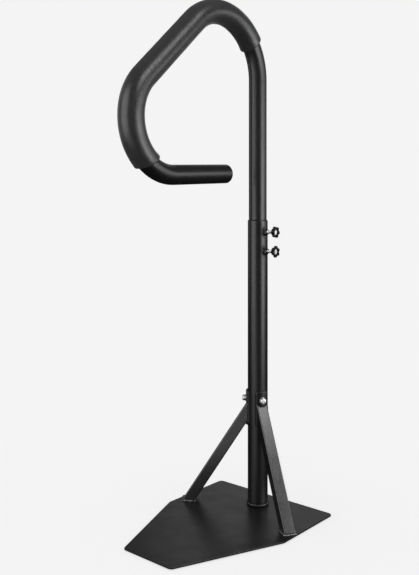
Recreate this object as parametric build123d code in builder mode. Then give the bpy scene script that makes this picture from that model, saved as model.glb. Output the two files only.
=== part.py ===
from build123d import *
from math import cos, degrees, atan2, pi, radians, sin, sqrt
import os

# Bed assist rail: a floor plate with a round post, two square-tube braces
# bolted to the post, and a telescoping hand loop with a foam grip that two
# clamp knobs hold in the post.
#
# Frame: origin on the floor at the post's axis, +Z up, +X the way the hand
# loop and the narrow end of the plate point, +Y the side with the knobs.
# All lengths are in millimetres.

# ---------------------------------------------------------------- dimensions
# Floor plate and rubber sheet
mat_thickness = 1.0
mat_inset = 7.0
plate_thickness = 2.5
plate_rear = 51.0            # from the post's axis back to the wide edge
plate_width = 268.0
plate_straight = 154.0       # length of the two parallel sides
plate_taper = 193.0          # length of the tapering part, along X
plate_front_width = 108.0
plate_corner_radius = 8.0
plate_top = mat_thickness + plate_thickness

# Lower post
post_radius = 19.0
post_wall = 1.8
post_bottom = plate_top + 6.0
post_top = 545.2
post_mouth_height = 2.0       # easing of the mouth, along Z and across
post_mouth_depth = 1.3
post_bore = post_radius - post_wall
foot_radius = 18.2
foot_bolt_radius = 4.0       # M8 countersunk
foot_bolt_head_radius = 8.0

# Braces
brace_azimuths = {"left": -60.0, "right": 60.0}
brace_size = 20.6
brace_wall = 1.5
brace_corner = 2.0
brace_foot_reach = 146.0     # outer corner of the foot, from the post's axis
brace_top_height = 194.6     # where the brace's upper face meets its end plate
end_plate_width = 24.0
end_plate_thickness = 3.5
end_plate_bottom = 155.0
end_plate_top = 222.0
end_plate_round = 6.0
end_plate_edge = 1.8         # rounding of the plate's long outer edges
brace_bolt_height = 205.0
driver_scoop_radius = 12.6   # cut in the brace's upper wall, round the bolt

# M6 fasteners
m6_radius = 3.0
m6_clearance_radius = 3.3
m6_thread_radius = 3.05      # tapped holes, with running clearance
m6_across_flats = 10.0
m6_hex_radius = m6_across_flats / sqrt(3)
flat_washer_thickness = 1.6
flat_washer_radius = 6.0
spring_washer_thickness = 1.6
spring_washer_radius = 5.7
button_head_radius = 5.4
button_head_height = 3.8
inner_nut_face = 16.2        # outer face of the nuts welded inside the post
inner_nut_thickness = 5.0

# Clamp knobs
knob_heights = {"upper": 522.0, "lower": 485.5}
knob_phase = {"upper": -8.0, "lower": 23.0}
boss_nut_face = 23.5         # outer face of the nuts welded on the post
clamp_pad_tip = 17.15        # inner end of the clamp pad
clamp_pad_back = 19.7
clamp_pad_radius = 2.3
clamp_pad_pin_radius = 1.2
knob_bolt_bore_radius = 1.25
knob_bolt_shoulder = 37.5    # underside of the hex head
knob_bolt_head = 4.0
knob_hub_start = 36.0
knob_star_start = 39.0
knob_face = 44.5
knob_hub_radius = 6.6
knob_core_radius = 8.3
knob_lobe_radius = 3.3
knob_lobe_pitch = 7.7

# Hand loop: a round tube bent in one plane
loop_radius = 17.0
loop_wall = 1.5
loop_bottom = 343.0
bend_1_start = 810.0         # height where the upright starts to bend
bend_1_radius = 108.0
bend_1_turn = 133.0
diagonal_length = 162.5
bend_2_radius = 90.5
bend_2_turn = 140.0
bar_end_reach = 97.5         # the bare tube's end, before its cap

# Foam grip
foam_wall = 4.8
foam_bore = loop_radius + 0.05
foam_radius = loop_radius + foam_wall
foam_start_turn = 36.0       # along the first bend
foam_end_turn = 100.5        # along the second bend

# End cap of the bar, and the glide in the loop's lower end
cap_spigot = 14.0
cap_thickness = 2.5
glide_radius = post_bore - 0.1
glide_bottom = 337.0
glide_spigot_top = 358.0
glide_bore = 12.0

os.makedirs("parts", exist_ok=True)


def radial_plane(azimuth, reach, height):
    """A plane facing outwards from the post's axis, its local y pointing up."""
    a = radians(azimuth)
    outward = Vector(cos(a), sin(a), 0)
    return Plane(
        origin=outward * reach + Vector(0, 0, height),
        x_dir=Vector(-sin(a), cos(a), 0),
        z_dir=outward,
    )


# ------------------------------------------------------------------ floor plate
plate_front = -plate_rear + plate_straight + plate_taper
plate_points = [
    (-plate_rear, -plate_width / 2),
    (-plate_rear + plate_straight, -plate_width / 2),
    (plate_front, -plate_front_width / 2),
    (plate_front, plate_front_width / 2),
    (-plate_rear + plate_straight, plate_width / 2),
    (-plate_rear, plate_width / 2),
]

# Hexagonal steel plate. The countersink for the post's bolt is open below.
with BuildPart() as base_plate:
    with BuildSketch(Plane.XY.offset(mat_thickness)) as plate_outline:
        with BuildLine():
            Polyline(*plate_points, close=True)
        make_face()
        fillet(plate_outline.vertices(), radius=plate_corner_radius)
    extrude(amount=plate_thickness)
    chamfer(base_plate.faces().sort_by(Axis.Z)[-1].outer_wire().edges(), length=0.4)
    with Locations(Plane(origin=(0, 0, mat_thickness), z_dir=(0, 0, -1))):
        CounterSinkHole(
            radius=foot_bolt_head_radius - plate_thickness,
            counter_sink_radius=foot_bolt_head_radius,
            depth=plate_thickness,
            counter_sink_angle=90,
        )

# Rubber sheet stuck to the underside, set in from the plate's edge.
with BuildPart() as base_mat:
    with BuildSketch(Plane.XY) as mat_outline:
        with BuildLine():
            Polyline(*plate_points, close=True)
        make_face()
        offset(amount=-mat_inset, kind=Kind.INTERSECTION)
        fillet(mat_outline.vertices(), radius=5.0)
    extrude(amount=mat_thickness)

# ------------------------------------------------------------------- lower post
with BuildPart() as lower_post:
    with BuildSketch(Plane.XY.offset(post_bottom)):
        Circle(post_radius)
        Circle(post_bore, mode=Mode.SUBTRACT)
    extrude(amount=post_top - post_bottom)
    # the mouth is eased on the outside, and the lower end lightly
    chamfer(
        lower_post.edges().filter_by(GeomType.CIRCLE).group_by(Axis.Z)[-1].sort_by(SortBy.RADIUS)[-1],
        length=post_mouth_height,
        length2=post_mouth_depth,
    )
    chamfer(
        lower_post.edges().filter_by(GeomType.CIRCLE).group_by(Axis.Z)[0].sort_by(SortBy.RADIUS)[-1],
        length=0.5,
    )
    # clearance holes for the brace bolts and the clamp knobs
    with Locations(
        *[radial_plane(a, post_radius + 1, brace_bolt_height) for a in brace_azimuths.values()],
        *[radial_plane(90, post_radius + 1, z) for z in knob_heights.values()],
    ):
        Hole(radius=m6_clearance_radius, depth=post_wall + 2)

# Threaded foot pressed into the post and welded round its rim.
with BuildPart() as post_foot:
    with BuildSketch(Plane.XY.offset(plate_top)):
        Circle(foot_radius)
    extrude(amount=post_bottom - plate_top)
    with BuildSketch(Plane.XY.offset(post_bottom)):
        Circle(post_bore - 0.05)
    extrude(amount=14.0)
    chamfer(post_foot.faces().sort_by(Axis.Z)[-1].edges(), length=1.0)
    with Locations(Plane(origin=(0, 0, plate_top), z_dir=(0, 0, -1))):
        CounterSinkHole(
            radius=foot_bolt_radius + 0.05,
            counter_sink_radius=foot_bolt_head_radius - plate_thickness,
            depth=30.0,
            counter_sink_angle=90,
        )

# M8 countersunk bolt from below, its head flush with the plate.
with BuildPart() as post_foot_bolt:
    with BuildSketch(Plane.XZ):
        with BuildLine():
            Polyline(
                (0, mat_thickness),
                (foot_bolt_head_radius, mat_thickness),
                (foot_bolt_radius, mat_thickness + foot_bolt_head_radius - foot_bolt_radius),
                (foot_bolt_radius, 27.2),
                (foot_bolt_radius - 0.8, 28.0),
                (0, 28.0),
                close=True,
            )
        make_face()
    revolve(axis=Axis.Z)
    with BuildSketch(Plane.XY.offset(mat_thickness)):
        RegularPolygon(radius=5.0 / sqrt(3), side_count=6)
    extrude(amount=2.8, mode=Mode.SUBTRACT)

# ----------------------------------------------------------------------- braces
end_plate_face = post_radius + end_plate_thickness
brace_lean = atan2(brace_foot_reach - end_plate_face, brace_top_height - plate_top)


def make_brace(azimuth):
    """Square tube in a radial plane, mitred on the floor plate and coped to its end plate."""
    a = radians(azimuth)
    outward = Vector(cos(a), sin(a), 0)
    up = Vector(0, 0, 1)
    along = outward * -sin(brace_lean) + up * cos(brace_lean)
    across = Vector(-sin(a), cos(a), 0)
    normal = outward * cos(brace_lean) + up * sin(brace_lean)
    foot = outward * brace_foot_reach + up * plate_top - normal * (brace_size / 2)
    with BuildPart() as brace:
        with BuildSketch(Plane(origin=foot - along * 30, x_dir=across, z_dir=along)):
            RectangleRounded(brace_size, brace_size, brace_corner)
            RectangleRounded(
                brace_size - 2 * brace_wall,
                brace_size - 2 * brace_wall,
                brace_corner - brace_wall + 0.1,
                mode=Mode.SUBTRACT,
            )
        extrude(amount=290.0)
        split(bisect_by=Plane.XY.offset(plate_top), keep=Keep.TOP)
        split(bisect_by=radial_plane(azimuth, post_radius - 4, 0), keep=Keep.TOP)
        with BuildSketch(Plane.XY.offset(plate_top + 20)):
            Circle(end_plate_face)
        extrude(amount=300.0, mode=Mode.SUBTRACT)
        with BuildSketch(radial_plane(azimuth, post_radius - 4, brace_bolt_height)):
            Circle(driver_scoop_radius)
        extrude(amount=35.0, mode=Mode.SUBTRACT)
    return brace


def make_end_plate(azimuth):
    """Saddle plate curved to the post, welded on the brace's upper end."""
    middle = (end_plate_bottom + end_plate_top) / 2
    with BuildPart() as end_plate:
        with BuildSketch(radial_plane(azimuth, 0, middle)) as outline:
            Rectangle(end_plate_width, end_plate_top - end_plate_bottom)
            fillet(outline.vertices().group_by(Axis.Z)[-1], radius=end_plate_round)
        extrude(amount=end_plate_face + 2)
        with BuildSketch(Plane.XY.offset(end_plate_bottom - 5)):
            Circle(end_plate_face)
        extrude(amount=end_plate_top - end_plate_bottom + 10, mode=Mode.INTERSECT)
        with BuildSketch(Plane.XY.offset(end_plate_bottom - 5)):
            Circle(post_radius)
        extrude(amount=end_plate_top - end_plate_bottom + 10, mode=Mode.SUBTRACT)
        long_edges = sorted(
            end_plate.edges().filter_by(Axis.Z), key=lambda e: e.center().X**2 + e.center().Y**2
        )
        fillet(long_edges[-2:], radius=end_plate_edge)
        with Locations(radial_plane(azimuth, end_plate_face, brace_bolt_height)):
            Hole(radius=m6_clearance_radius, depth=end_plate_thickness + 1)
    return end_plate


brace_left = make_brace(brace_azimuths["left"])
brace_right = make_brace(brace_azimuths["right"])
brace_end_plate_left = make_end_plate(brace_azimuths["left"])
brace_end_plate_right = make_end_plate(brace_azimuths["right"])

# Brace fasteners: flat washer, spring washer and button-head bolt on each
# side, into a nut welded inside the post.
flat_washer_face = end_plate_face + flat_washer_thickness
spring_washer_face = flat_washer_face + spring_washer_thickness
button_face = spring_washer_face + button_head_height

with BuildPart() as brace_bolts:
    for azimuth in brace_azimuths.values():
        with BuildSketch(radial_plane(azimuth, spring_washer_face, brace_bolt_height)):
            Circle(button_head_radius)
        extrude(amount=button_head_height)
        fillet(
            brace_bolts.faces().sort_by_distance(
                radial_plane(azimuth, button_face, brace_bolt_height).origin
            )[0].edges(),
            radius=2.4,
        )
        with BuildSketch(radial_plane(azimuth, 8.7, brace_bolt_height)):
            Circle(m6_radius)
        extrude(amount=spring_washer_face - 8.7)
        with BuildSketch(radial_plane(azimuth, button_face, brace_bolt_height)):
            RegularPolygon(radius=4.0 / sqrt(3), side_count=6)
        extrude(amount=-2.3, mode=Mode.SUBTRACT)

with BuildPart() as brace_flat_washers:
    for azimuth in brace_azimuths.values():
        with BuildSketch(radial_plane(azimuth, end_plate_face, brace_bolt_height)):
            Circle(flat_washer_radius)
            Circle(3.2, mode=Mode.SUBTRACT)
        extrude(amount=flat_washer_thickness)

with BuildPart() as brace_spring_washers:
    for azimuth in brace_azimuths.values():
        with BuildSketch(radial_plane(azimuth, flat_washer_face, brace_bolt_height)):
            Circle(spring_washer_radius)
            Circle(3.15, mode=Mode.SUBTRACT)
            with Locations((4.5, 0)):
                Rectangle(4.0, 0.9, rotation=20, mode=Mode.SUBTRACT)
        extrude(amount=spring_washer_thickness)

with BuildPart() as brace_weld_nuts:
    for azimuth in brace_azimuths.values():
        with BuildSketch(radial_plane(azimuth, inner_nut_face, brace_bolt_height)):
            RegularPolygon(radius=m6_hex_radius, side_count=6, rotation=30)
            Circle(m6_thread_radius, mode=Mode.SUBTRACT)
        extrude(amount=-inner_nut_thickness)

# ------------------------------------------------------------------ clamp knobs
# Nuts welded on the outside of the post, hollowed to its curve.
with BuildPart() as knob_weld_nuts:
    for height in knob_heights.values():
        with BuildSketch(radial_plane(90, 17.8, height)):
            RegularPolygon(radius=m6_hex_radius, side_count=6, rotation=30)
            Circle(m6_thread_radius, mode=Mode.SUBTRACT)
        extrude(amount=boss_nut_face - 17.8)
    with BuildSketch(Plane.XY.offset(470)):
        Circle(post_radius)
    extrude(amount=70, mode=Mode.SUBTRACT)


def make_clamp_pad(height):
    """Nylon pad on the screw's tip: it presses on the loop's tube without turning."""
    with BuildPart() as pad:
        with BuildSketch(radial_plane(90, clamp_pad_tip, height)):
            Circle(clamp_pad_radius)
        extrude(amount=clamp_pad_back - clamp_pad_tip)
        with BuildSketch(radial_plane(90, clamp_pad_back, height)):
            Circle(clamp_pad_pin_radius)
        extrude(amount=2.9)
    return pad


def make_knob_bolt(height):
    """M6 hex bolt with a blind hole in its tip for the clamp pad's pin."""
    with BuildPart() as bolt:
        with BuildSketch(radial_plane(90, knob_bolt_shoulder, height)):
            RegularPolygon(radius=m6_hex_radius, side_count=6, rotation=30)
        extrude(amount=knob_bolt_head)
        with BuildSketch(radial_plane(90, clamp_pad_back + 0.1, height)):
            Circle(m6_radius)
        extrude(amount=knob_bolt_shoulder - clamp_pad_back - 0.1)
        with BuildSketch(radial_plane(90, clamp_pad_back + 0.1, height)):
            Circle(knob_bolt_bore_radius)
        extrude(amount=3.4, mode=Mode.SUBTRACT)
    return bolt


def make_knob(height, phase):
    """Six-lobed moulded head on a short hub, with a pocket for the hex head."""
    with BuildPart() as knob:
        with BuildSketch(radial_plane(90, knob_star_start, height)) as star:
            Circle(knob_core_radius)
            with PolarLocations(knob_lobe_pitch, 6, start_angle=phase):
                Circle(knob_lobe_radius)
            fillet(star.vertices(), radius=1.6)
        extrude(amount=knob_face - knob_star_start)
        rims = (
            knob.faces().filter_by(Axis.Y).sort_by(Axis.Y)
        )
        fillet(rims[-1].edges() + rims[0].edges(), radius=1.3)
        with BuildSketch(radial_plane(90, knob_hub_start, height)):
            Circle(knob_hub_radius)
        extrude(amount=knob_star_start - knob_hub_start + 0.5)
        with BuildSketch(radial_plane(90, knob_hub_start, height)):
            Circle(m6_radius + 0.05)
        extrude(amount=20, mode=Mode.SUBTRACT)
        with BuildSketch(radial_plane(90, knob_bolt_shoulder, height)):
            RegularPolygon(radius=m6_hex_radius + 0.05, side_count=6, rotation=30)
        extrude(amount=20, mode=Mode.SUBTRACT)
        with BuildSketch(radial_plane(90, knob_bolt_shoulder + knob_bolt_head - 0.6, height)):
            Circle(6.3)
        extrude(amount=20, mode=Mode.SUBTRACT)
    return knob


clamp_pad_upper = make_clamp_pad(knob_heights["upper"])
clamp_pad_lower = make_clamp_pad(knob_heights["lower"])
knob_bolt_upper = make_knob_bolt(knob_heights["upper"])
knob_bolt_lower = make_knob_bolt(knob_heights["lower"])
knob_upper = make_knob(knob_heights["upper"], knob_phase["upper"])
knob_lower = make_knob(knob_heights["lower"], knob_phase["lower"])

# -------------------------------------------------------------------- hand loop
# Centreline in the XZ plane: upright, first bend over the top, diagonal,
# second bend back under, and a bar that rises slightly to its free end.
centre_1 = Vector(bend_1_radius, bend_1_start)
angle_1 = radians(180 - bend_1_turn)
bend_1_end = centre_1 + Vector(cos(angle_1), sin(angle_1)) * bend_1_radius
heading_1 = radians(90 - bend_1_turn)
bend_2_begin = bend_1_end + Vector(cos(heading_1), sin(heading_1)) * diagonal_length
centre_2 = bend_2_begin - Vector(cos(angle_1), sin(angle_1)) * bend_2_radius
angle_2 = angle_1 - radians(bend_2_turn)
bend_2_end = centre_2 + Vector(cos(angle_2), sin(angle_2)) * bend_2_radius
heading_2 = heading_1 - radians(bend_2_turn)
bar_length = (bar_end_reach - bend_2_end.X) / cos(heading_2)
bar_end = bend_2_end + Vector(cos(heading_2), sin(heading_2)) * bar_length


def flat(v):
    return (v.X, v.Y)


with BuildPart() as handle_tube:
    with BuildLine(Plane.XZ) as loop_path:
        Line((0, loop_bottom), (0, bend_1_start))
        CenterArc(flat(centre_1), bend_1_radius, 180, -bend_1_turn)
        Line(flat(bend_1_end), flat(bend_2_begin))
        CenterArc(flat(centre_2), bend_2_radius, degrees(angle_1), -bend_2_turn)
        Line(flat(bend_2_end), flat(bar_end))
    with BuildSketch(Plane.XY.offset(loop_bottom)):
        Circle(loop_radius)
        Circle(loop_radius - loop_wall, mode=Mode.SUBTRACT)
    sweep(path=loop_path.wires()[0])

# Foam sleeve over both bends and the diagonal.
foam_angle_1 = radians(180 - foam_start_turn)
foam_begin = centre_1 + Vector(cos(foam_angle_1), sin(foam_angle_1)) * bend_1_radius
foam_heading = radians(90 - foam_start_turn)
with BuildPart() as foam_grip:
    with BuildLine(Plane.XZ) as foam_path:
        CenterArc(
            flat(centre_1), bend_1_radius, 180 - foam_start_turn, foam_start_turn - bend_1_turn
        )
        Line(flat(bend_1_end), flat(bend_2_begin))
        CenterArc(flat(centre_2), bend_2_radius, degrees(angle_1), -foam_end_turn)
    with BuildSketch(
        Plane(
            origin=(foam_begin.X, 0, foam_begin.Y),
            x_dir=(0, 1, 0),
            z_dir=(cos(foam_heading), 0, sin(foam_heading)),
        )
    ):
        Circle(foam_radius)
        Circle(foam_bore, mode=Mode.SUBTRACT)
    sweep(path=foam_path.wires()[0])

# Push-in cap on the bar's free end.
with BuildPart() as bar_end_cap:
    cap_plane = Plane(
        origin=(bar_end.X, 0, bar_end.Y),
        x_dir=(0, 1, 0),
        z_dir=(cos(heading_2), 0, sin(heading_2)),
    )
    with BuildSketch(cap_plane):
        Circle(loop_radius)
    extrude(amount=cap_thickness)
    fillet(bar_end_cap.faces().sort_by(Axis.X)[0].edges(), radius=2.0)
    with BuildSketch(cap_plane):
        Circle(loop_radius - loop_wall - 0.05)
        Circle(loop_radius - loop_wall - 2.0, mode=Mode.SUBTRACT)
    extrude(amount=-cap_spigot)

# Nylon glide: its flange slides in the post, and the loop's tube turns on its
# spigot.
with BuildPart() as handle_glide:
    with BuildSketch(Plane.XY.offset(glide_bottom)):
        Circle(glide_radius)
    extrude(amount=loop_bottom - 0.1 - glide_bottom)
    chamfer(handle_glide.faces().sort_by(Axis.Z)[0].edges(), length=0.8)
    with BuildSketch(Plane.XY.offset(loop_bottom - 0.1)):
        Circle(loop_radius - loop_wall - 0.05)
    extrude(amount=glide_spigot_top - loop_bottom + 0.1)
    chamfer(handle_glide.faces().sort_by(Axis.Z)[-1].edges(), length=0.8)
    with BuildSketch(Plane.XY.offset(glide_bottom)):
        Circle(glide_bore)
    extrude(amount=glide_spigot_top - glide_bottom, mode=Mode.SUBTRACT)

# ---------------------------------------------------------------- written parts
base_plate.part.label = "base_plate"
export_step(base_plate.part, "parts/base_plate.step")
base_mat.part.label = "base_mat"
export_step(base_mat.part, "parts/base_mat.step")
lower_post.part.label = "lower_post"
export_step(lower_post.part, "parts/lower_post.step")
post_foot.part.label = "post_foot"
export_step(post_foot.part, "parts/post_foot.step")
post_foot_bolt.part.label = "post_foot_bolt"
export_step(post_foot_bolt.part, "parts/post_foot_bolt.step")
brace_left.part.label = "brace_left"
export_step(brace_left.part, "parts/brace_left.step")
brace_right.part.label = "brace_right"
export_step(brace_right.part, "parts/brace_right.step")
brace_end_plate_left.part.label = "brace_end_plate_left"
export_step(brace_end_plate_left.part, "parts/brace_end_plate_left.step")
brace_end_plate_right.part.label = "brace_end_plate_right"
export_step(brace_end_plate_right.part, "parts/brace_end_plate_right.step")
brace_bolts.part.label = "brace_bolts"
export_step(brace_bolts.part, "parts/brace_bolts.step")
brace_flat_washers.part.label = "brace_flat_washers"
export_step(brace_flat_washers.part, "parts/brace_flat_washers.step")
brace_spring_washers.part.label = "brace_spring_washers"
export_step(brace_spring_washers.part, "parts/brace_spring_washers.step")
brace_weld_nuts.part.label = "brace_weld_nuts"
export_step(brace_weld_nuts.part, "parts/brace_weld_nuts.step")
knob_weld_nuts.part.label = "knob_weld_nuts"
export_step(knob_weld_nuts.part, "parts/knob_weld_nuts.step")
clamp_pad_upper.part.label = "clamp_pad_upper"
export_step(clamp_pad_upper.part, "parts/clamp_pad_upper.step")
clamp_pad_lower.part.label = "clamp_pad_lower"
export_step(clamp_pad_lower.part, "parts/clamp_pad_lower.step")
knob_bolt_upper.part.label = "knob_bolt_upper"
export_step(knob_bolt_upper.part, "parts/knob_bolt_upper.step")
knob_bolt_lower.part.label = "knob_bolt_lower"
export_step(knob_bolt_lower.part, "parts/knob_bolt_lower.step")
knob_upper.part.label = "knob_upper"
export_step(knob_upper.part, "parts/knob_upper.step")
knob_lower.part.label = "knob_lower"
export_step(knob_lower.part, "parts/knob_lower.step")
handle_tube.part.label = "handle_tube"
export_step(handle_tube.part, "parts/handle_tube.step")
foam_grip.part.label = "foam_grip"
export_step(foam_grip.part, "parts/foam_grip.step")
bar_end_cap.part.label = "bar_end_cap"
export_step(bar_end_cap.part, "parts/bar_end_cap.step")
handle_glide.part.label = "handle_glide"
export_step(handle_glide.part, "parts/handle_glide.step")
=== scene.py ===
from math import atan2, ceil, cos, degrees, exp, hypot, pi, radians, sin, sqrt, tan

import bpy
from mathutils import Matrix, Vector


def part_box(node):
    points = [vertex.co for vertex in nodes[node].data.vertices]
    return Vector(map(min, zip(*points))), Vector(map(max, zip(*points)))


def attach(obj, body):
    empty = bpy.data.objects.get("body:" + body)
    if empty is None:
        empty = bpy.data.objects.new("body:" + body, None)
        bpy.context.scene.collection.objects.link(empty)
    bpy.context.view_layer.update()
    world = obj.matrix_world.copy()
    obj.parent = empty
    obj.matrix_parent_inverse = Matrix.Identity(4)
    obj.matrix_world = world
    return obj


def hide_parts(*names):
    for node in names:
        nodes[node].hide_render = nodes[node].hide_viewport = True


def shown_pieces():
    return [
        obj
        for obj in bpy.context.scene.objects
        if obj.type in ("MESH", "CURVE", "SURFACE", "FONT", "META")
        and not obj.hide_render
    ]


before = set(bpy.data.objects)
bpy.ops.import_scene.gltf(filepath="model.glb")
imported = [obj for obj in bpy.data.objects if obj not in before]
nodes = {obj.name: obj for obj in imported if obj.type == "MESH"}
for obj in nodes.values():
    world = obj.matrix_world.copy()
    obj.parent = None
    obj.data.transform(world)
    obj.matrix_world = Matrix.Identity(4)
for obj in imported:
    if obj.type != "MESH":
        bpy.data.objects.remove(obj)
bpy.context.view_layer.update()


def corners(node):
    low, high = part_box(node)
    return Vector(low), Vector(high)


# ------------------------------------------------------------------ geometry
# Lengths below are in metres, in the shared frame.
post_low, post_high = corners("lower_post")
tube_low, tube_high = corners("handle_tube")
foam_low, foam_high = corners("foam_grip")
plate_low, plate_high = corners("base_plate")
mat_low, mat_high = corners("base_mat")

post_radius = post_high.y
plate_top = plate_high.z

# the loop's centreline, in the XZ plane
tube_radius = tube_high.y
bend_1_radius, bend_1_turn = 0.108, 133.0
bend_2_radius, bend_2_turn = 0.0905, 140.0
diagonal = 0.1625
centre_1 = Vector((bend_1_radius, tube_high.z - tube_radius - bend_1_radius))
angle_1 = radians(180 - bend_1_turn)
bend_1_end = centre_1 + bend_1_radius * Vector((cos(angle_1), sin(angle_1)))
heading_1 = radians(90 - bend_1_turn)
bend_2_begin = bend_1_end + diagonal * Vector((cos(heading_1), sin(heading_1)))
centre_2 = bend_2_begin - bend_2_radius * Vector((cos(angle_1), sin(angle_1)))
foam_start_turn, foam_end_turn = 36.8, 100.9
# the sleeve was cut square and then bent, so its inner side reaches further round
start_slant, end_slant = 2.6, 4.9
foam_radius = foam_high.y

foam_arc_1 = bend_1_radius * radians(bend_1_turn - foam_start_turn)
foam_arc_2 = bend_2_radius * radians(foam_end_turn)
foam_length = foam_arc_1 + diagonal + foam_arc_2


def foam_frame(s):
    """Centre, direction to the outside of the bends, and how bent it is, at s along the grip."""
    if s <= foam_arc_1:
        a = radians(180 - foam_start_turn) - s / bend_1_radius
        out = Vector((cos(a), sin(a)))
        return centre_1 + bend_1_radius * out, out, 1.0
    if s <= foam_arc_1 + diagonal:
        out = Vector((cos(angle_1), sin(angle_1)))
        along = Vector((cos(heading_1), sin(heading_1)))
        t = s - foam_arc_1
        return bend_1_end + t * along, out, 0.0
    a = angle_1 - (s - foam_arc_1 - diagonal) / bend_2_radius
    out = Vector((cos(a), sin(a)))
    return centre_2 + bend_2_radius * out, out, 1.0


def wander(x, seed):
    """A smooth made-up wave between about -1 and 1, with no repeat in sight."""
    return (
        sin(x * 1.0 + seed * 1.7)
        + 0.6 * sin(x * 2.31 + seed * 4.1 + 1.3)
        + 0.4 * sin(x * 4.87 + seed * 2.9 + 0.4)
    ) / 2.0


# ------------------------------------------------------------------- meshes
def add_mesh(name, verts, faces, material, smooth_angle=40.0):
    mesh = bpy.data.meshes.new(name)
    mesh.from_pydata([tuple(v) for v in verts], [], faces)
    mesh.validate()
    mesh.update()
    mesh.polygons.foreach_set("use_smooth", [True] * len(mesh.polygons))
    if smooth_angle is not None:
        mesh.set_sharp_from_angle(angle=radians(smooth_angle))
    obj = bpy.data.objects.new(name, mesh)
    bpy.context.scene.collection.objects.link(obj)
    mesh.materials.append(material)
    return obj


def bridge(rings, faces, first=0, looped=False):
    """Quads between rings of equal length, whose points run first, first + 1, ..."""
    n = len(rings[0])
    count = len(rings)
    for i in range(count if looped else count - 1):
        a, b = first + i * n, first + ((i + 1) % count) * n
        for j in range(n):
            k = (j + 1) % n
            faces.append((a + j, b + j, b + k, a + k))


def bead(points, outs, ups, r_out, r_up, closed, seed, verts, faces, ripple=0.13, step=0.0021):
    """A weld bead along a line: a ripple-stacked rope of overlapping puddles.
    outs and ups are the two directions across it, r_out and r_up its half sizes."""
    # resample evenly
    total, marks = 0.0, [0.0]
    pts = points + ([points[0]] if closed else [])
    os_ = outs + ([outs[0]] if closed else [])
    us = ups + ([ups[0]] if closed else [])
    for a, b in zip(pts, pts[1:]):
        total += (b - a).length
        marks.append(total)
    fine = 0.00033
    count = max(8, int(ceil(total / fine)))
    around = 20
    rings = []
    turns = max(3, round(total / step))
    for i in range(count if closed else count + 1):
        s = total * i / count
        k = 0
        while k < len(marks) - 2 and marks[k + 1] < s:
            k += 1
        f = (s - marks[k]) / max(marks[k + 1] - marks[k], 1e-9)
        p = pts[k].lerp(pts[k + 1], f)
        out = os_[k].lerp(os_[k + 1], f).normalized()
        up = us[k].lerp(us[k + 1], f).normalized()
        end = 1.0
        if not closed:
            e = min(s, total - s) / max(r_out, r_up)
            end = sqrt(max(0.02, 1 - (1 - min(1.0, e)) ** 2))
        swell = 1 + 0.10 * wander(s * 900, seed) + 0.05 * wander(s * 2300, seed + 3)
        ring = []
        for j in range(around):
            a = 2 * pi * j / around
            # puddle edges lag behind at the toes of the bead
            lag = 0.35 * (1 - cos(a - pi / 4)) / 2
            phase = (s / total * turns - lag + 0.12 * wander(s * 500, seed + 7)) % 1.0
            scallop = sqrt(max(0.0, 1 - (2 * phase - 1) ** 2))
            r = swell * (1 - ripple + ripple * scallop) * end
            ring.append(p + out * (cos(a) * r_out * r) + up * (sin(a) * r_up * r))
        rings.append(ring)
    first = len(verts)
    for ring in rings:
        verts.extend(ring)
    bridge(rings, faces, first, looped=closed)
    if not closed:
        n = around
        faces.append(tuple(first + j for j in range(n)))
        last = first + (len(rings) - 1) * n
        faces.append(tuple(last + j for j in reversed(range(n))))


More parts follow.
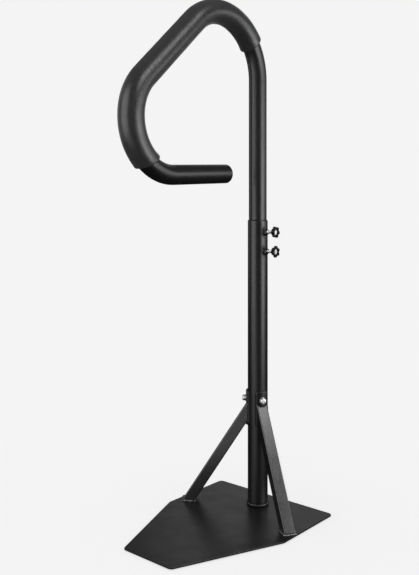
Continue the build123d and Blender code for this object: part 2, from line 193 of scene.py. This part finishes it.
# ----------------------------------------------------------------- materials
class Shader:
    """A material with one Principled shader, and short names for the nodes round it."""

    def __init__(self, name, **sockets):
        self.material = bpy.data.materials.new(name)
        self.material.use_nodes = True
        self.tree = self.material.node_tree
        self.tree.nodes.clear()
        self.out = self.tree.nodes.new("ShaderNodeOutputMaterial")
        self.bsdf = self.tree.nodes.new("ShaderNodeBsdfPrincipled")
        self.tree.links.new(self.bsdf.outputs[0], self.out.inputs[0])
        self.coords = self.tree.nodes.new("ShaderNodeTexCoord").outputs["Object"]
        for key, value in sockets.items():
            self.bsdf.inputs[key.replace("_", " ")].default_value = value

    def link(self, source, socket):
        self.tree.links.new(source, self.bsdf.inputs[socket])

    def stretched(self, scale, rotation=(0, 0, 0)):
        node = self.tree.nodes.new("ShaderNodeMapping")
        node.inputs["Scale"].default_value = scale
        node.inputs["Rotation"].default_value = rotation
        self.tree.links.new(self.coords, node.inputs["Vector"])
        return node.outputs[0]

    def noise(self, scale, detail=2.0, roughness=0.5, vector=None, distortion=0.0):
        node = self.tree.nodes.new("ShaderNodeTexNoise")
        node.inputs["Scale"].default_value = scale
        node.inputs["Detail"].default_value = detail
        node.inputs["Roughness"].default_value = roughness
        node.inputs["Distortion"].default_value = distortion
        self.tree.links.new(vector or self.coords, node.inputs["Vector"])
        return node.outputs["Fac"]

    def cells(self, scale, feature="F1", vector=None, randomness=1.0):
        node = self.tree.nodes.new("ShaderNodeTexVoronoi")
        node.feature = feature
        node.inputs["Scale"].default_value = scale
        node.inputs["Randomness"].default_value = randomness
        self.tree.links.new(vector or self.coords, node.inputs["Vector"])
        return node.outputs["Distance"]

    def spread(self, value, low, high, from_low=0.3, from_high=0.7, smooth=False):
        node = self.tree.nodes.new("ShaderNodeMapRange")
        node.interpolation_type = "SMOOTHSTEP" if smooth else "LINEAR"
        node.inputs["From Min"].default_value = from_low
        node.inputs["From Max"].default_value = from_high
        node.inputs["To Min"].default_value = low
        node.inputs["To Max"].default_value = high
        self.tree.links.new(value, node.inputs["Value"])
        return node.outputs[0]

    def math(self, operation, a, b):
        node = self.tree.nodes.new("ShaderNodeMath")
        node.operation = operation
        for socket, value in zip(node.inputs, (a, b)):
            if isinstance(value, (int, float)):
                socket.default_value = value
            else:
                self.tree.links.new(value, socket)
        return node.outputs[0]

    def colours(self, value, *stops):
        node = self.tree.nodes.new("ShaderNodeValToRGB")
        ramp = node.color_ramp
        while len(ramp.elements) < len(stops):
            ramp.elements.new(0.5)
        for element, (at, colour) in zip(ramp.elements, stops):
            element.position = at
            element.color = (*colour, 1.0)
        self.tree.links.new(value, node.inputs["Fac"])
        return node.outputs["Color"]

    def bump(self, height, distance, strength=1.0, normal=None):
        node = self.tree.nodes.new("ShaderNodeBump")
        node.inputs["Strength"].default_value = strength
        node.inputs["Distance"].default_value = distance
        self.tree.links.new(height, node.inputs["Height"])
        if normal is not None:
            self.tree.links.new(normal, node.inputs["Normal"])
        return node.outputs[0]

    def side(self, axis):
        """The size of one component of the surface's direction, unbumped."""
        geometry = self.tree.nodes.new("ShaderNodeNewGeometry")
        split = self.tree.nodes.new("ShaderNodeSeparateXYZ")
        self.tree.links.new(geometry.outputs["Normal"], split.inputs[0])
        return split.outputs[axis]

    def place(self, axis):
        split = self.tree.nodes.new("ShaderNodeSeparateXYZ")
        self.tree.links.new(self.coords, split.inputs[0])
        return split.outputs[axis]


def powder_coat(name, level, rough_low, rough_high, peel=1.0, specular=0.5):
    """Black powder coat: orange peel, a fine grain in it, and faint clouds in gloss and tone."""
    m = Shader(name)
    m.bsdf.inputs["Specular IOR Level"].default_value = specular
    cloud = m.noise(14.0, 3.0, 0.55)
    fine = m.noise(260.0, 3.0, 0.6)
    tone = m.math("ADD", m.math("MULTIPLY", cloud, 0.6), m.math("MULTIPLY", fine, 0.4))
    m.link(
        m.colours(
            tone,
            (0.30, (level * 0.80, level * 0.80, level * 0.84)),
            (0.70, (level * 1.22, level * 1.22, level * 1.26)),
        ),
        "Base Color",
    )
    gloss = m.math("ADD", m.math("MULTIPLY", m.noise(30.0, 2.0), 0.5), m.math("MULTIPLY", m.noise(900.0, 2.0), 0.5))
    m.link(m.spread(gloss, rough_low, rough_high, 0.35, 0.65), "Roughness")
    grain = m.bump(m.noise(3200.0, 2.0), 0.0000022 * peel)
    m.link(m.bump(m.noise(620.0, 1.5, 0.4), 0.000011 * peel, normal=grain), "Normal")
    return m.material


tube_coat = powder_coat("tube_powder_coat", 0.0045, 0.32, 0.40)
plate_coat = powder_coat("plate_powder_coat", 0.0050, 0.33, 0.43, peel=1.2)
weld_coat = powder_coat("weld_powder_coat", 0.0060, 0.13, 0.24, peel=0.8, specular=0.95)
for node in weld_coat.node_tree.nodes:
    if node.type == "BSDF_PRINCIPLED":
        node.inputs["Coat Weight"].default_value = 1.0
        node.inputs["Coat Roughness"].default_value = 0.10
brace_coat = powder_coat("brace_powder_coat", 0.0050, 0.23, 0.30, peel=1.1, specular=0.9)
foot_weld_coat = powder_coat("foot_weld_powder_coat", 0.0040, 0.16, 0.26, peel=0.9, specular=0.5)


def foam_skin():
    """Closed-cell foam with a smooth moulded skin: fine cells, a few open pores, soft clouds."""
    m = Shader("foam_skin")
    m.bsdf.inputs["Specular IOR Level"].default_value = 0.50
    m.bsdf.inputs["Sheen Weight"].default_value = 0.08
    m.bsdf.inputs["Sheen Roughness"].default_value = 0.6
    cell = m.cells(1500.0)
    pore = m.cells(520.0)
    cloud = m.noise(22.0, 4.0, 0.6)
    fine = m.noise(700.0, 3.0, 0.6)
    tone = m.math("ADD", m.math("MULTIPLY", cloud, 0.5), m.math("MULTIPLY", fine, 0.5))
    m.link(
        m.colours(
            tone,
            (0.32, (0.0085, 0.0087, 0.0092)),
            (0.55, (0.0110, 0.0113, 0.0119)),
            (0.72, (0.0150, 0.0154, 0.0161)),
        ),
        "Base Color",
    )
    m.link(m.spread(m.noise(120.0, 3.0), 0.30, 0.38, 0.35, 0.65), "Roughness")
    pits = m.bump(m.spread(pore, 0.0, 1.0, 0.02, 0.22, smooth=True), 0.000050)
    cells = m.bump(cell, 0.000035, normal=pits)
    m.link(m.bump(m.noise(160.0, 3.0), 0.000040, normal=cells), "Normal")
    return m.material


def bright_zinc(name="bright_zinc", tone=0.72, rough=(0.20, 0.34), scratch=1.0):
    """Bright zinc plating: a bluish white metal with fine turning marks and cloudy gloss."""
    m = Shader(name, Metallic=1.0)
    cloud = m.noise(350.0, 3.0, 0.6)
    m.link(
        m.colours(
            cloud,
            (0.30, (tone * 0.86, tone * 0.88, tone * 0.92)),
            (0.70, (tone * 1.04, tone * 1.05, tone * 1.06)),
        ),
        "Base Color",
    )
    m.link(m.spread(m.noise(1400.0, 3.0, 0.6), rough[0], rough[1], 0.3, 0.7), "Roughness")
    marks = m.noise(1.0, 3.0, 0.6, vector=m.stretched((900, 5200, 900)))
    m.link(m.bump(marks, 0.0000035 * scratch), "Normal")
    return m.material


def moulded(name, colour, rough, grain, distance, specular=0.5):
    """Moulded plastic: faint flow clouds, a fine spark-eroded grain."""
    m = Shader(name)
    m.bsdf.inputs["Specular IOR Level"].default_value = specular
    cloud = m.noise(90.0, 3.0, 0.55)
    m.link(
        m.colours(
            cloud,
            (0.30, tuple(c * 0.82 for c in colour)),
            (0.70, tuple(c * 1.20 for c in colour)),
        ),
        "Base Color",
    )
    m.link(m.spread(m.noise(500.0, 3.0), rough[0], rough[1], 0.35, 0.65), "Roughness")
    m.link(m.bump(m.noise(grain, 3.0, 0.6), distance), "Normal")
    return m.material


def ribbed_rubber():
    m = Shader("ribbed_rubber")
    m.bsdf.inputs["Specular IOR Level"].default_value = 0.4
    m.link(
        m.colours(
            m.noise(45.0, 4.0, 0.65),
            (0.30, (0.012, 0.012, 0.012)),
            (0.70, (0.024, 0.024, 0.025)),
        ),
        "Base Color",
    )
    m.link(m.spread(m.noise(300.0, 3.0), 0.62, 0.86, 0.35, 0.65), "Roughness")
    m.link(m.bump(m.noise(1600.0, 4.0, 0.7), 0.000030), "Normal")
    return m.material


foam = foam_skin()
zinc = bright_zinc(tone=0.80, rough=(0.36, 0.48))
button_zinc = bright_zinc("button_zinc", tone=0.93, rough=(0.40, 0.52))
knob_plastic = moulded("knob_plastic", (0.0026, 0.0026, 0.0028), (0.26, 0.36), 2600.0, 0.0000030, specular=0.22)
cap_plastic = moulded("cap_plastic", (0.0035, 0.0035, 0.0037), (0.34, 0.46), 1800.0, 0.000006, specular=0.22)
nylon = moulded("black_nylon", (0.020, 0.020, 0.021), (0.42, 0.56), 1500.0, 0.000008)
rubber = ribbed_rubber()

# ------------------------------------------------- materials on the CAD nodes
finishes = {
    "base_plate": plate_coat,
    "lower_post": tube_coat,
    "post_foot": tube_coat,
    "post_foot_bolt": zinc,
    "brace_left": brace_coat,
    "brace_right": brace_coat,
    "brace_end_plate_left": tube_coat,
    "brace_end_plate_right": tube_coat,
    "brace_bolts": button_zinc,
    "brace_flat_washers": zinc,
    "brace_spring_washers": zinc,
    "brace_weld_nuts": zinc,
    "knob_weld_nuts": foot_weld_coat,
    "clamp_pad_upper": nylon,
    "clamp_pad_lower": nylon,
    "knob_upper": knob_plastic,
    "knob_lower": knob_plastic,
    "handle_tube": tube_coat,
    "bar_end_cap": cap_plastic,
    "handle_glide": nylon,
}
for node, material in finishes.items():
    obj = nodes[node]
    if not obj.material_slots:
        obj.data.materials.append(material)
    for slot in obj.material_slots:
        slot.material = material

# ------------------------------------------------------------------ foam grip
def make_foam():
    around = 96
    wall_in = tube_radius + 0.00004
    round_ = 0.0021
    stations = []  # (s, radius added to the nominal one, or None for the bore)
    steps = 8
    for i in range(steps + 1):
        a = pi / 2 * i / steps
        stations.append((round_ * (1 - sin(a)), -round_ * (1 - cos(a))))
    stations = [(round_ * (1 - cos(pi / 2 * i / steps)), -round_ * (1 - sin(pi / 2 * i / steps))) for i in range(steps + 1)]
    body = int(foam_length / 0.0014)
    inner = [(round_ + (foam_length - 2 * round_) * i / body, 0.0) for i in range(1, body)]
    ends = [(foam_length - s, d) for s, d in reversed(stations)]
    line = stations + inner + ends
    rings = []

    def ring(s, radius_of):
        points = []
        for j in range(around):
            a = 2 * pi * j / around
            # the two ends lean: further along on the inside of the bend
            lean_start = start_slant * bend_1_radius * radians(1) * cos(a) * exp(-s / 0.022)
            lean_end = -end_slant * bend_2_radius * radians(1) * cos(a) * exp(-(foam_length - s) / 0.022)
            centre, out, bent = foam_frame(s + lean_start + lean_end)
            r = radius_of(a, bent)
            x = centre.x + out.x * cos(a) * r
            z = centre.y + out.y * cos(a) * r
            points.append(Vector((x, sin(a) * r, z)))
        return points

    def outer(s, drop):
        near_end = min(s, foam_length - s)
        lip = 0.00022 * exp(-((near_end - 0.0045) / 0.0045) ** 2)

        def radius_of(a, bent):
            inside = max(0.0, -cos(a)) ** 2
            # how far into a bend, faded at its two ends
            if s < foam_arc_1:
                depth = min(1.0, (foam_arc_1 - s) / 0.03)
            elif s > foam_arc_1 + diagonal:
                depth = min(1.0, (s - foam_arc_1 - diagonal) / 0.03)
            else:
                depth = 0.0
            creases = wander(s * 620 + 0.8 * sin(a), 1.0) * 0.00013 * inside * depth
            lumps = 0.00007 * wander(s * 95 + 1.4 * sin(a), 2.0) + 0.00005 * wander(s * 240 + 2.0 * cos(a), 5.0)
            return foam_radius - 0.00012 + drop + lip + creases + lumps

        return radius_of

    rings.append(ring(0.0, lambda a, b: wall_in))
    for i in range(1, 3):
        rings.append(ring(0.0, lambda a, b, i=i: wall_in + (foam_radius - round_ - wall_in) * i / 3))
    for s, drop in line:
        rings.append(ring(s, outer(s, drop)))
    for i in (2, 1):
        rings.append(ring(foam_length, lambda a, b, i=i: wall_in + (foam_radius - round_ - wall_in) * i / 3))
    rings.append(ring(foam_length, lambda a, b: wall_in))
    bore = 120
    for i in range(1, bore):
        rings.append(ring(foam_length * (1 - i / bore), lambda a, b: wall_in))
    verts, faces = [], []
    for r in rings:
        verts.extend(r)
    bridge(rings, faces, 0, looped=True)
    return add_mesh("foam_sleeve", verts, faces, foam, smooth_angle=70.0)


foam_sleeve = make_foam()
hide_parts("foam_grip")
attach(foam_sleeve, "handle")


# ---------------------------------------------------------------- knob bolts
def threaded_bolt(name, node, body, phase):
    """M6 hex bolt along +Y: rolled thread, chamfered hex head."""
    low, high = corners(node)
    cx, cz = (low.x + high.x) / 2, (low.z + high.z) / 2
    tip, face = low.y, high.y
    shoulder = face - 0.004
    pitch = 0.001
    crest, root = 0.00298, 0.00245
    around = 48
    verts, faces = [], []

    def point(radius, angle, y):
        # angle runs by the right-hand rule about +Y, from +Z towards +X
        return Vector((cx + radius * sin(angle), y, cz + radius * cos(angle)))

    length = shoulder - tip
    rows = int(length / pitch * 12)
    rings = []
    for r in (0.0006, 0.0019):
        rings.append([point(r, 2 * pi * j / around, tip) for j in range(around)])
    for i in range(rows + 1):
        y = tip + length * i / rows
        run_in = min(1.0, (y - tip) / 0.0011)
        run_out = min(1.0, max(0.0, (shoulder - y) / 0.0012))
        ring = []
        for j in range(around):
            a = 2 * pi * j / around
            t = ((y - tip) / pitch - a / (2 * pi)) % 1.0
            tri = 1 - abs(2 * t - 1)
            v = min(1.0, max(0.0, (tri - 0.12) / 0.74))
            depth = root + (crest - root) * v
            start = 0.0023 + (crest - 0.0023) * run_in
            r = min(depth, start) * run_out + crest * (1 - run_out)
            ring.append(point(r, a, y))
        rings.append(ring)
    first = len(verts)
    for ring in rings:
        verts.extend(ring)
    bridge(rings, faces, first)
    faces.append(tuple(first + j for j in range(around)))
    last = first + (len(rings) - 1) * around
    faces.append(tuple(last + j for j in reversed(range(around))))

    # hex head with its corners chamfered by a cone
    apothem, flat_radius = 0.005, 0.00475
    head = 96
    rings = []
    spec = []
    for ring_at in ("under_in", "under", "top_side", "flat", "dish"):
        ring = []
        for j in range(head):
            a = 2 * pi * j / head
            hexagon = apothem / cos(((a + phase) % (pi / 3)) - pi / 6)
            if ring_at == "under_in":
                ring.append(point(0.0028, a, shoulder))
            elif ring_at == "under":
                ring.append(point(hexagon, a, shoulder))
            elif ring_at == "top_side":
                ring.append(point(hexagon, a, face - (hexagon - flat_radius) * tan(radians(30))))
            elif ring_at == "flat":
                ring.append(point(min(flat_radius, hexagon), a, face))
            else:
                ring.append(point(0.0030, a, face - 0.00012))
        rings.append(ring)
    first = len(verts)
    for ring in rings:
        verts.extend(ring)
    bridge(rings, faces, first)
    faces.append(tuple(first + j for j in range(head)))
    last = first + (len(rings) - 1) * head
    faces.append(tuple(last + j for j in reversed(range(head))))
    bolt = add_mesh(name, verts, faces, zinc, smooth_angle=24.0)
    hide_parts(node)
    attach(bolt, body)
    return bolt


for side in ("upper", "lower"):
    threaded_bolt(f"threaded_bolt_{side}", f"knob_bolt_{side}", f"{side}_knob", 0.0)

# ---------------------------------------------------------------- weld beads
def radial(azimuth):
    a = radians(azimuth)
    return Vector((cos(a), sin(a), 0)), Vector((-sin(a), cos(a), 0))


up = Vector((0, 0, 1))
brace_reach = 0.146
end_plate_face = post_radius + 0.0035
brace_top = 0.1946
brace_size = 0.0206
lean = atan2(brace_reach - end_plate_face, brace_top - plate_top)


def weld_object(name, verts, faces, coat=weld_coat):
    obj = add_mesh(name, verts, faces, coat, smooth_angle=None)
    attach(obj, "base")
    return obj


for side, azimuth in (("left", -60.0), ("right", 60.0)):
    outward, across = radial(azimuth)
    verts, faces = [], []
    # round the foot, on the plate
    half = brace_size / 2
    r_near, r_far = brace_reach - brace_size / cos(lean), brace_reach
    corner = 0.0022
    pts, outs = [], []
    for cx, cy, a0 in (
        (r_far - corner, half - corner, 0),
        (r_near + corner, half - corner, 90),
        (r_near + corner, -half + corner, 180),
        (r_far - corner, -half + corner, 270),
    ):
        for k in range(7):
            a = radians(a0 + 15 * k)
            d = outward * cos(a) + across * sin(a)
            pts.append(outward * cx + across * cy + d * (corner + 0.0002) + up * (plate_top + 0.0001))
            outs.append(d)
    bead(pts, outs, [up] * len(pts), 0.0030, 0.0027, True, 1.0 + azimuth, verts, faces)
    # down the joint with the saddle plate, on both sides for the left brace and on one side for the right, and
    # under it
    radial_reach = sqrt(end_plate_face**2 - half**2)
    for sign in (-1, 1) if side == "left" else (1,):
        base = outward * (radial_reach + 0.0001) + across * (sign * half)
        normal = (outward * radial_reach + across * (sign * half)).normalized()
        away = (across * sign - normal * normal.dot(across * sign)).normalized()
        line = [base + up * z for z in (0.1955, 0.184, 0.172, 0.1615)]
        bead(
            line,
            [away] * len(line),
            [normal] * len(line),
            0.0023,
            0.0023,
            False,
            5.0 + sign + azimuth,
            verts,
            faces,
            step=0.0019,
        )
    line, ups = [], []
    for k in range(9):
        c = (k / 4 - 1) * (half - 0.0004)
        normal = (outward * sqrt(end_plate_face**2 - c * c) + across * c).normalized()
        line.append(normal * (end_plate_face + 0.0001) + up * 0.1585)
        ups.append(normal)
    bead(line, [-up] * 9, ups, 0.0016, 0.0017, False, 9.0 + azimuth, verts, faces, step=0.0019)
    weld_object(f"brace_weld_{side}", verts, faces)

# round the post's foot, filling the step between the post and the plate
verts, faces = [], []
pts, outs = [], []
for i in range(72):
    a = 2 * pi * i / 72
    d = Vector((cos(a), sin(a), 0))
    pts.append(d * 0.0180 + up * (plate_top + 0.0028))
    outs.append(d)
bead(pts, outs, [up] * 72, 0.0032, 0.0034, True, 2.0, verts, faces, ripple=0.17, step=0.0036)
weld_object("post_foot_weld", verts, faces, foot_weld_coat)

# round the knobs' nuts, following the post's curve
for side in ("upper", "lower"):
    low, high = corners(f"knob_bolt_{side}")
    cz = (low.z + high.z) / 2
    verts, faces = [], []
    pts, outs, ups = [], [], []
    ring_r = 0.0060
    for i in range(48):
        a = 2 * pi * i / 48
        x, dz = ring_r * cos(a), ring_r * sin(a)
        y = sqrt(post_radius**2 - x * x)
        normal = Vector((x, y, 0)).normalized()
        flat = Vector((cos(a), 0, sin(a)))
        flat = (flat - normal * flat.dot(normal)).normalized()
        pts.append(Vector((x, y, cz + dz)))
        outs.append(flat)
        ups.append(normal)
    bead(pts, outs, ups, 0.0015, 0.0014, True, 3.0 if side == "upper" else 6.0, verts, faces, step=0.0019)
    weld_object(f"knob_nut_weld_{side}", verts, faces, foot_weld_coat)


# ------------------------------------------------------------- ribbed rubber
def make_mat():
    """Rubber sheet with fine ribs across its underside."""
    outline = {}
    for v in nodes["base_mat"].data.vertices:
        x, y = v.co.x, abs(v.co.y)
        key = round(x, 5)
        outline[key] = max(outline.get(key, 0.0), y)
    xs = sorted(outline)

    def half_width(x):
        for a, b in zip(xs, xs[1:]):
            if a <= x <= b:
                f = (x - a) / (b - a) if b > a else 0.0
                return outline[a] + (outline[b] - outline[a]) * f
        return outline[xs[0]] if x < xs[0] else outline[xs[-1]]

    pitch, depth = 0.003, 0.00045
    length = mat_high.x - mat_low.x
    stations = set(xs)
    n = int(length / pitch)
    for i in range(n + 1):
        for f in (0.0, 0.12, 0.5, 0.62):
            x = mat_low.x + (i + f) * length / n
            if x <= mat_high.x:
                stations.add(x)
    stations = sorted(stations)
    clean = [stations[0]]
    for x in stations[1:]:
        if x - clean[-1] > 2e-5:
            clean.append(x)
    rings = []
    for x in clean:
        t = ((x - mat_low.x) / (length / n)) % 1.0
        if t < 0.12:
            d = depth * (1 - t / 0.12)
        elif t < 0.5:
            d = 0.0
        elif t < 0.62:
            d = depth * (t - 0.5) / 0.12
        else:
            d = depth
        edge = min(x - mat_low.x, mat_high.x - x)
        if edge < 0.004:
            d = 0.0
        h = half_width(x)
        z0, z1 = mat_low.z, mat_high.z
        rim = min(0.004, h * 0.5)
        ring = [
            Vector((x, -h, z1)),
            Vector((x, -h, z0 + 0.0001)),
            Vector((x, -h + 0.0001, z0)),
            Vector((x, -h + rim, z0)),
            Vector((x, -h + rim + 0.0002, z0 + d)),
            Vector((x, h - rim - 0.0002, z0 + d)),
            Vector((x, h - rim, z0)),
            Vector((x, h - 0.0001, z0)),
            Vector((x, h, z0 + 0.0001)),
            Vector((x, h, z1)),
        ]
        rings.append(ring)
    verts, faces = [], []
    for ring in rings:
        verts.extend(ring)
    bridge(rings, faces)
    n = len(rings[0])
    faces.append(tuple(range(n)))
    last = (len(rings) - 1) * n
    faces.append(tuple(last + j for j in reversed(range(n))))
    # all faces outwards
    mat = add_mesh("ribbed_sheet", verts, faces, rubber, smooth_angle=30.0)
    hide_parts("base_mat")
    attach(mat, "base")
    return mat


make_mat()

# Consistent outward faces on every modelled piece
import bmesh

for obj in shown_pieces():
    if obj.type != "MESH" or obj.name in nodes or obj in list(nodes.values()):
        continue
    bm = bmesh.new()
    bm.from_mesh(obj.data)
    bmesh.ops.recalc_face_normals(bm, faces=bm.faces)
    bm.to_mesh(obj.data)
    bm.free()

# --------------------------------------------------------------------- stage
scene = bpy.context.scene
scene.view_settings.view_transform = "Standard"
scene.view_settings.look = "None"
scene.view_settings.exposure = 0.0
scene.view_settings.gamma = 1.0

backdrop_level = 0.905
ambient = 0.34
world = bpy.data.worlds.new("studio")
scene.world = world
world.use_nodes = True
tree = world.node_tree
tree.nodes.clear()
out = tree.nodes.new("ShaderNodeOutputWorld")
path = tree.nodes.new("ShaderNodeLightPath")


def background(level):
    node = tree.nodes.new("ShaderNodeBackground")
    node.inputs["Color"].default_value = (1, 1, 1, 1)
    node.inputs["Strength"].default_value = level
    return node.outputs[0]


def mix(fac, a, b):
    node = tree.nodes.new("ShaderNodeMixShader")
    tree.links.new(fac, node.inputs[0])
    tree.links.new(a, node.inputs[1])
    tree.links.new(b, node.inputs[2])
    return node.outputs[0]


glossy = mix(path.outputs["Is Glossy Ray"], background(ambient), background(0.015))
tree.links.new(mix(path.outputs["Is Camera Ray"], glossy, background(backdrop_level)), out.inputs[0])

floor_material = bpy.data.materials.new("pale_floor")
floor_material.use_nodes = True
tree_f = floor_material.node_tree
tree_f.nodes.clear()
f_out = tree_f.nodes.new("ShaderNodeOutputMaterial")
f_diff = tree_f.nodes.new("ShaderNodeBsdfDiffuse")
f_diff.inputs["Color"].default_value = (0.8, 0.8, 0.8, 1)
f_emit = tree_f.nodes.new("ShaderNodeEmission")
f_emit.inputs["Color"].default_value = (1, 1, 1, 1)
f_emit.inputs["Strength"].default_value = backdrop_level - 0.8 * ambient
f_add = tree_f.nodes.new("ShaderNodeAddShader")
f_clear = tree_f.nodes.new("ShaderNodeBsdfTransparent")
f_mix = tree_f.nodes.new("ShaderNodeMixShader")
f_geo = tree_f.nodes.new("ShaderNodeNewGeometry")
tree_f.links.new(f_diff.outputs[0], f_add.inputs[0])
tree_f.links.new(f_emit.outputs[0], f_add.inputs[1])
tree_f.links.new(f_geo.outputs["Backfacing"], f_mix.inputs[0])
tree_f.links.new(f_add.outputs[0], f_mix.inputs[1])
tree_f.links.new(f_clear.outputs[0], f_mix.inputs[2])
tree_f.links.new(f_mix.outputs[0], f_out.inputs[0])

ring = [Vector((14 * cos(2 * pi * i / 96), 14 * sin(2 * pi * i / 96), -0.0002)) for i in range(96)]
floor_mesh = bpy.data.meshes.new("floor")
floor_mesh.from_pydata([tuple(v) for v in ring], [], [tuple(range(96))])
floor = bpy.data.objects.new("floor", floor_mesh)
scene.collection.objects.link(floor)
floor_mesh.materials.append(floor_material)
floor.visible_glossy = False
floor.visible_diffuse = False
floor.visible_shadow = False

unlit = bpy.data.collections.new("not_lit_by_panels")
unlit.objects.link(floor)


def panel(name, azimuth, width, z_low, z_high, distance, radiance, tilt=0.0):
    """A soft box that faces the post, given as a span of azimuths seen from it."""
    light = bpy.data.lights.new(name, "AREA")
    light.shape = "RECTANGLE"
    light.size = 2 * distance * tan(radians(width / 2))
    light.size_y = z_high - z_low
    light.energy = radiance * pi * light.size * light.size_y
    obj = bpy.data.objects.new(name, light)
    a = radians(azimuth)
    obj.location = (cos(a) * distance, sin(a) * distance, (z_low + z_high) / 2)
    aim = Vector((-cos(a), -sin(a), -tan(radians(tilt))))
    obj.rotation_euler = aim.to_track_quat("-Z", "Y").to_euler()
    scene.collection.objects.link(obj)
    obj.visible_camera = False
    obj.light_linking.receiver_collection = unlit
    return obj


panel("left_box", -12.5, 48.0, 0.0, 2.3, 2.0, 2.8)
panel("left_bounce", 5.0, 50.0, -0.75, -0.02, 2.0, 0.80)
panel("right_box", 100.5, 37.0, 0.0, 1.15, 1.9, 5.6)
panel("high_right_box", 92.0, 44.0, 2.00, 3.2, 1.9, 6.5)
panel("low_right_box", 134.0, 24.0, 0.48, 1.25, 1.9, 2.3)
panel("far_left_box", -80.0, 44.0, 0.25, 2.2, 2.2, 0.50)
panel("back_box", 200.0, 60.0, 0.55, 2.6, 2.4, 0.52)
panel("front_box", 46.0, 66.0, 0.30, 2.6, 2.6, 0.10)

top = bpy.data.lights.new("top_box", "AREA")
top.shape = "RECTANGLE"
top.size, top.size_y = 2.4, 2.4
top.energy = 0.09 * pi * 2.4 * 2.4
top_obj = bpy.data.objects.new("top_box", top)
top_obj.location = (0.1, 0.0, 2.9)
scene.collection.objects.link(top_obj)
top_obj.visible_camera = False
top_obj.light_linking.receiver_collection = unlit

for item in unlit.collection_objects:
    item.light_linking.link_state = "EXCLUDE"

# -------------------------------------------------------------------- camera
camera_data = bpy.data.cameras.new("camera")
camera_data.sensor_fit = "AUTO"
camera_data.sensor_width = 36.0
camera_data.lens = 745.44 / 575 * 36
camera_data.shift_x = (209.5 - 210.55) / 575
camera_data.shift_y = (213.31 - 287.5) / 575
camera_data.clip_start = 0.05
camera_data.clip_end = 60
camera = bpy.data.objects.new("camera", camera_data)
camera.location = (1.13565, 0.86077, 0.55740)
camera.rotation_euler = (radians(90), 0, atan2(-0.6532, -0.7572) - radians(90) + 2 * pi)
scene.collection.objects.link(camera)
scene.camera = camera
